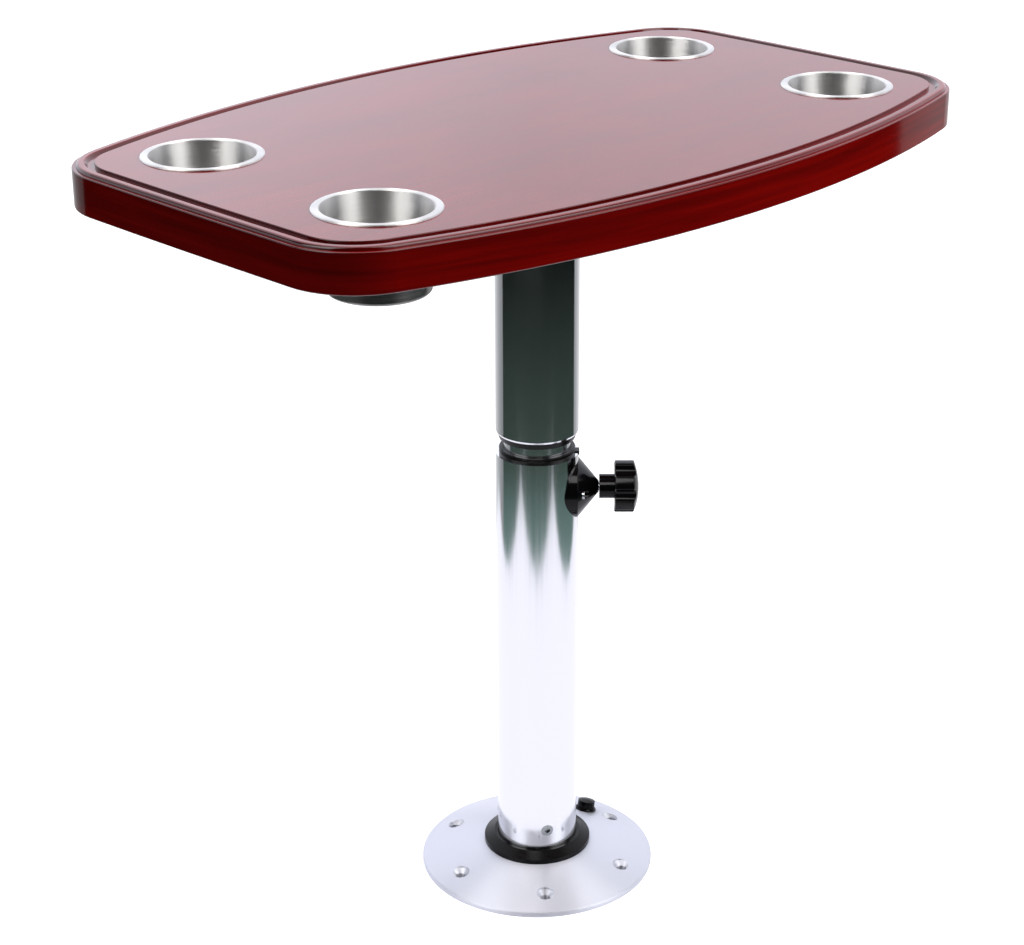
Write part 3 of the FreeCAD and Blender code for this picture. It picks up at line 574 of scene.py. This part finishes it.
def lit_floor():
    """What the table mirrors below it: a white board under it, a sweep behind and a dark room in front."""
    white = faded_glow(
        "studio_board_white",
        [(0.0, "#F6F5FF"), (0.12, "#F0F0F8"), (0.27, "#7E8C8A")], board_strength,
    )
    dark = faded_glow(
        "studio_room_dark",
        [(0.0, "#708C87"), (0.16, "#5E7670"), (0.27, "#3F4C46"), (1.0, "#101412")], room_strength,
    )
    near, near_right, far = board_reach, board_right_reach, studio_reach
    left_start = (-left_backdrop_slope * near, -near)
    left_end = (-left_backdrop_slope * far, -far)
    right_start = (-right_backdrop_slope * near_right, near_right)
    right_end = (-right_backdrop_slope * far, far)
    board_corners = [(near, -near), (near, near_right), (-near, near_right), (-near, -near)]
    room_corners = [
        (near, -near), (near, near_right), right_start, right_end,
        (far, far), (far, -far), left_end, left_start,
    ]
    backdrop_corners = [
        left_start, left_end, (-far, -far), (-far, far), right_end, right_start,
        (-near, near_right), (-near, -near),
    ]
    turns = [2 * math.pi * step / base_shade_corners for step in range(base_shade_corners)]
    base_corners = [(base_reach * math.cos(turn), base_reach * math.sin(turn)) for turn in turns]
    sheets = [
        flat_sheet("lit_board", board_corners, board_depth, white),
        flat_sheet("lit_room", room_corners, board_depth, dark),
        flat_sheet("lit_backdrop", backdrop_corners, board_depth, backdrop_glow()),
        flat_sheet("unlit_under_base", base_corners, base_shade_depth, base_shade()),
    ]
    for sheet in sheets:
        sheet.visible_camera = False
        sheet.visible_diffuse = False
        sheet.visible_shadow = False


def sky():
    """Studio round the table: bright and dark walls by bearing with a softbox high behind, for what mirrors
    them; an even fill for matt surfaces; plain white for the camera."""
    world = bpy.data.worlds.new("studio")
    scene.world = world
    world.use_nodes = True
    # Without light sampling each kind of ray sees only its own part of the studio
    world.cycles.sampling_method = "NONE"
    tree = world.node_tree
    tree.nodes.clear()
    coords = add(tree, "ShaderNodeTexCoord")
    way = coords.outputs["Generated"]

    # Walls by bearing, plainer near the horizon so that the panel mirrors an even tone from every side
    ahead = add(tree, "ShaderNodeVectorMath", {0: way, 1: front}, operation="DOT_PRODUCT")
    across = add(tree, "ShaderNodeVectorMath", {0: way, 1: right}, operation="DOT_PRODUCT")
    bearing = add(
        tree, "ShaderNodeMath", {0: across.outputs["Value"], 1: ahead.outputs["Value"]}, operation="ARCTAN2",
    )
    degrees = add(tree, "ShaderNodeMath", {0: bearing.outputs["Value"]}, operation="DEGREES")
    turn = add(
        tree, "ShaderNodeMapRange", {"Value": degrees.outputs["Value"], "From Min": -180, "From Max": 180},
    )
    wall = add(
        tree, "ShaderNodeValToRGB", {"Fac": turn.outputs["Result"]},
        stops=[((angle + 180) / 360, code) for angle, code in walls],
    )
    low_wall = add(
        tree, "ShaderNodeValToRGB", {"Fac": turn.outputs["Result"]},
        stops=[((angle + 180) / 360, code) for angle, code in low_walls],
    )
    height = add(tree, "ShaderNodeSeparateXYZ", {"Vector": way})
    above = add(
        tree, "ShaderNodeMapRange",
        {"Value": height.outputs["Z"], "From Min": low_wall_end, "From Max": high_wall_start},
        interpolation_type="SMOOTHSTEP",
    )
    surround = add(
        tree, "ShaderNodeMix",
        {"Factor": above.outputs["Result"], "A": low_wall.outputs["Color"], "B": wall.outputs["Color"]},
        data_type="RGBA",
    )

    # Round softbox high behind, soft at its edge
    nearness = add(tree, "ShaderNodeVectorMath", {0: way, 1: high_softbox_from}, operation="DOT_PRODUCT")
    spread = add(
        tree, "ShaderNodeMapRange",
        {"Value": nearness.outputs["Value"], "From Min": high_softbox_edge, "From Max": high_softbox_core},
        interpolation_type="SMOOTHSTEP",
    )
    room = add(
        tree, "ShaderNodeMix",
        {"Factor": spread.outputs["Result"], "A": surround.outputs["Result"], "B": linear(high_softbox_tone)},
        data_type="RGBA",
    )

    path = add(tree, "ShaderNodeLightPath")
    felt = add(
        tree, "ShaderNodeMix",
        {"Factor": path.outputs["Is Diffuse Ray"], "A": room.outputs["Result"], "B": linear(fill_tone)},
        data_type="RGBA",
    )
    seen = add(
        tree, "ShaderNodeMix",
        {"Factor": path.outputs["Is Camera Ray"], "A": felt.outputs["Result"], "B": linear("#FFFFFF")},
        data_type="RGBA",
    )
    light = add(tree, "ShaderNodeBackground", {"Color": seen.outputs["Result"], "Strength": wall_strength})
    add(tree, "ShaderNodeOutputWorld", {"Surface": light.outputs["Background"]})


def key_light():
    """Wide soft light from the right and a little behind, which only matt surfaces feel."""
    lamp = bpy.data.lights.new("key_softbox", "SUN")
    lamp.energy = key_strength
    lamp.angle = math.radians(key_spread)
    holder = bpy.data.objects.new("key_softbox", lamp)
    holder.visible_glossy = False
    scene.collection.objects.link(holder)
    holder.rotation_euler = (-key_from).to_track_quat("-Z", "Y").to_euler()


def base_light():
    """Small softbox under the top, which brightens the front of the base."""
    lamp = bpy.data.lights.new("base_softbox", "AREA")
    lamp.shape = "RECTANGLE"
    lamp.size = base_light_width
    lamp.size_y = base_light_depth
    lamp.energy = base_light_power
    holder = bpy.data.objects.new("base_softbox", lamp)
    holder.visible_camera = False
    holder.location = base_light_place
    scene.collection.objects.link(holder)
    holder.rotation_euler = (base_light_target - base_light_place).to_track_quat("-Z", "Y").to_euler()


def photo_camera():
    """Camera at the fitted place."""
    camera = bpy.data.cameras.new("camera")
    camera.lens = camera_lens
    camera.sensor_width = camera_sensor
    camera.sensor_fit = "HORIZONTAL"
    camera.shift_x = camera_shift
    camera.clip_end = camera_far_end
    holder = bpy.data.objects.new("camera", camera)
    holder.location = camera_place
    holder.rotation_euler = (camera_target - camera_place).to_track_quat("-Z", "Y").to_euler()
    scene.collection.objects.link(holder)
    scene.camera = holder


pale_floor()
lit_floor()
sky()
key_light()
base_light()
photo_camera()
